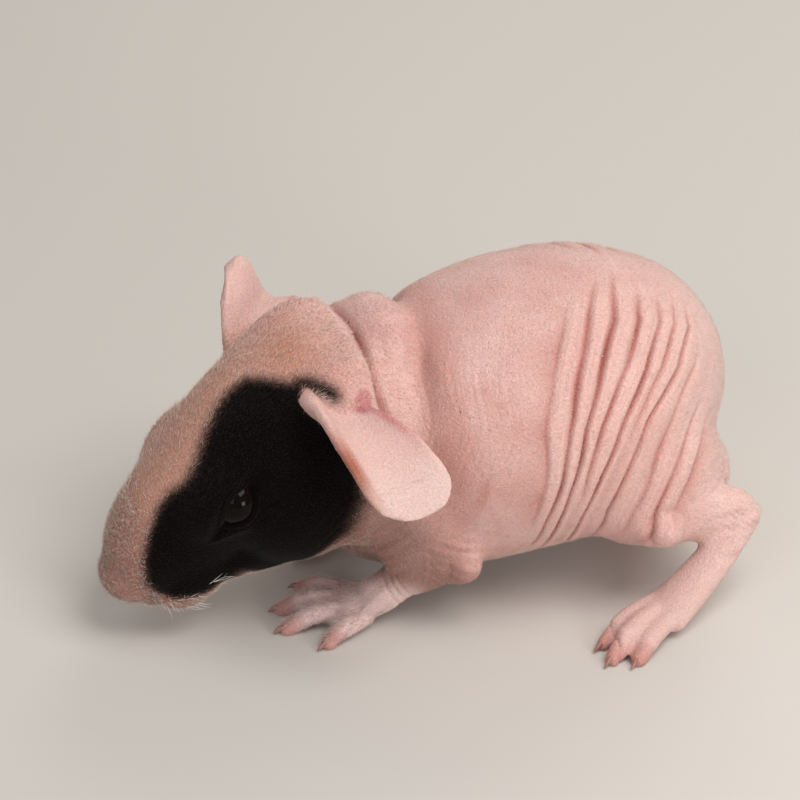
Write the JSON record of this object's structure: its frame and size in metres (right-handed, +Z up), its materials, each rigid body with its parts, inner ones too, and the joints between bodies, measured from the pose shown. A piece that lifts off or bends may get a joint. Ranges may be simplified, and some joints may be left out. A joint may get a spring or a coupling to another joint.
{
  "type": "skinny pig",
  "caption": "Standing young hairless guinea pig with folded pink skin, dark-masked face, large drooping left ear and raised right ear.",
  "frame": {"origin": "on the ground, below the centre of the bounding box", "axes": "+X towards the nose, +Y towards the animal's left, +Z up"},
  "size_m": [0.1065, 0.0752, 0.0542],
  "materials": {
    "skin": "bare warm pink skin with fine pale fuzz, soft sheen",
    "ear": "thin pale pink skin, satin",
    "foot": "pale lilac-pink skin with fine creases, satin",
    "eye": "wet, glossy, near black",
    "claw": "pinkish horn, smooth"
  },
  "bodies": {
    "root": {"head": "skin", "left_ear": "ear", "left_eye": "eye", "left_forefoot": "foot", "left_forefoot_claw_1": "claw", "left_forefoot_claw_2": "claw", "left_forefoot_claw_3": "claw", "left_forefoot_claw_4": "claw", "left_foreleg": "skin", "left_hindfoot": "foot", "left_hindfoot_claw_1": "claw", "left_hindfoot_claw_2": "claw", "left_hindfoot_claw_3": "claw", "left_hindleg": "skin", "neck": "skin", "right_ear": "ear", "right_eye": "eye", "right_forefoot": "foot", "right_forefoot_claw_1": "claw", "right_forefoot_claw_2": "claw", "right_forefoot_claw_3": "claw", "right_forefoot_claw_4": "claw", "right_foreleg": "skin", "right_hindfoot": "foot", "right_hindfoot_claw_1": "claw", "right_hindfoot_claw_2": "claw", "right_hindfoot_claw_3": "claw", "right_hindleg": "skin", "torso": "skin"}
  },
  "joints": []
}
